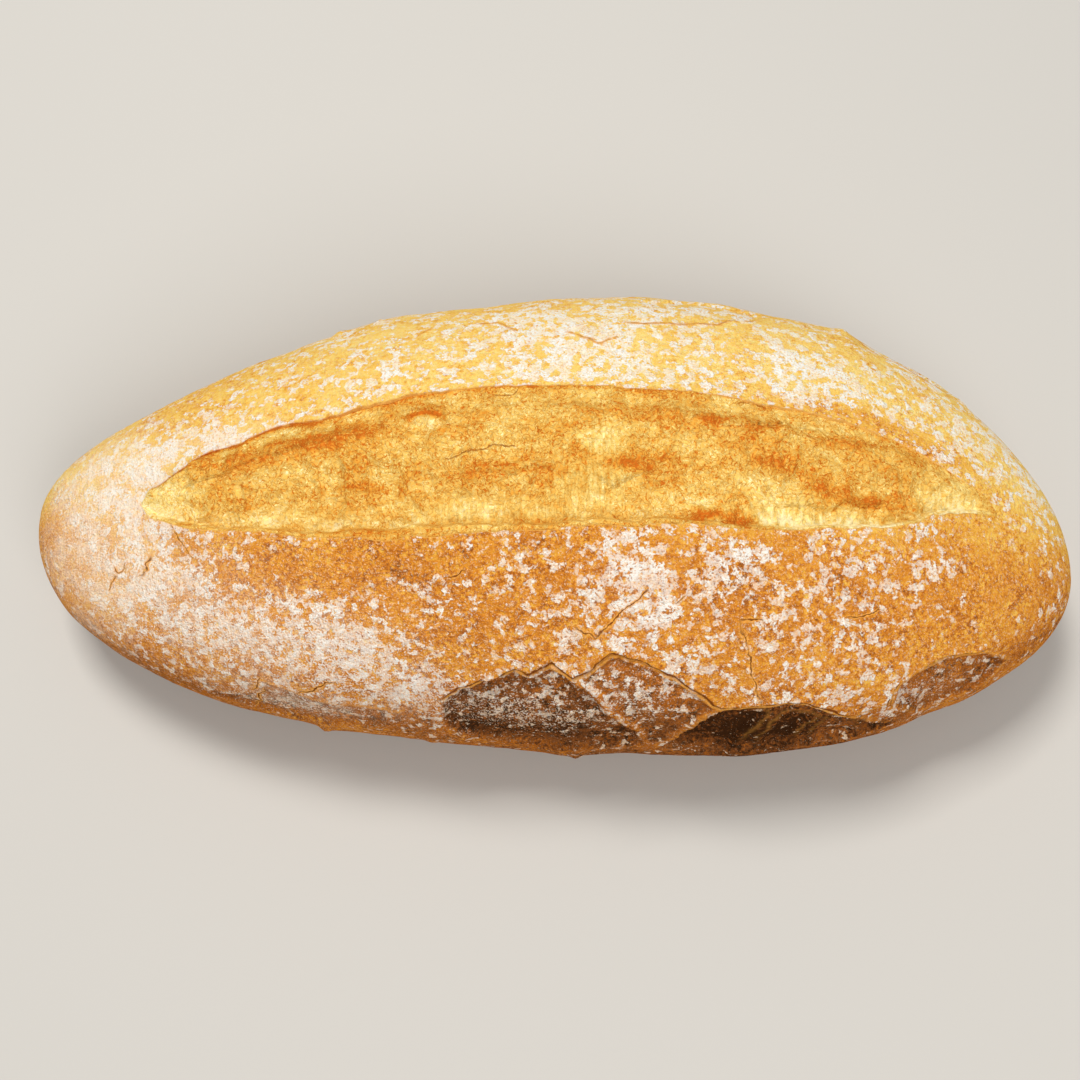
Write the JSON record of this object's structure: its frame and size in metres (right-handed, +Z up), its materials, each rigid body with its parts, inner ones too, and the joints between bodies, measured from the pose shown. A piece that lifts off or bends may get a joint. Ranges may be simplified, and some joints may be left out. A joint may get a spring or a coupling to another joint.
{
  "type": "bread loaf",
  "caption": "Short, broad loaf of crusty white bread with one long slash torn open along its top and flour dusted over its crust.",
  "frame": {"origin": "middle of the loaf's footprint, on the surface it rests on", "axes": "+X along the loaf towards its blunter tip, +Y towards its back, +Z up through the slashed top"},
  "size_m": [0.29, 0.133, 0.0738],
  "materials": {
    "crust": "golden baked crust, matte, dusted with white flour",
    "crumb": "rough torn crumb, pale cream to toasted orange"
  },
  "bodies": {
    "root": {"loaf": "crust"}
  },
  "joints": []
}
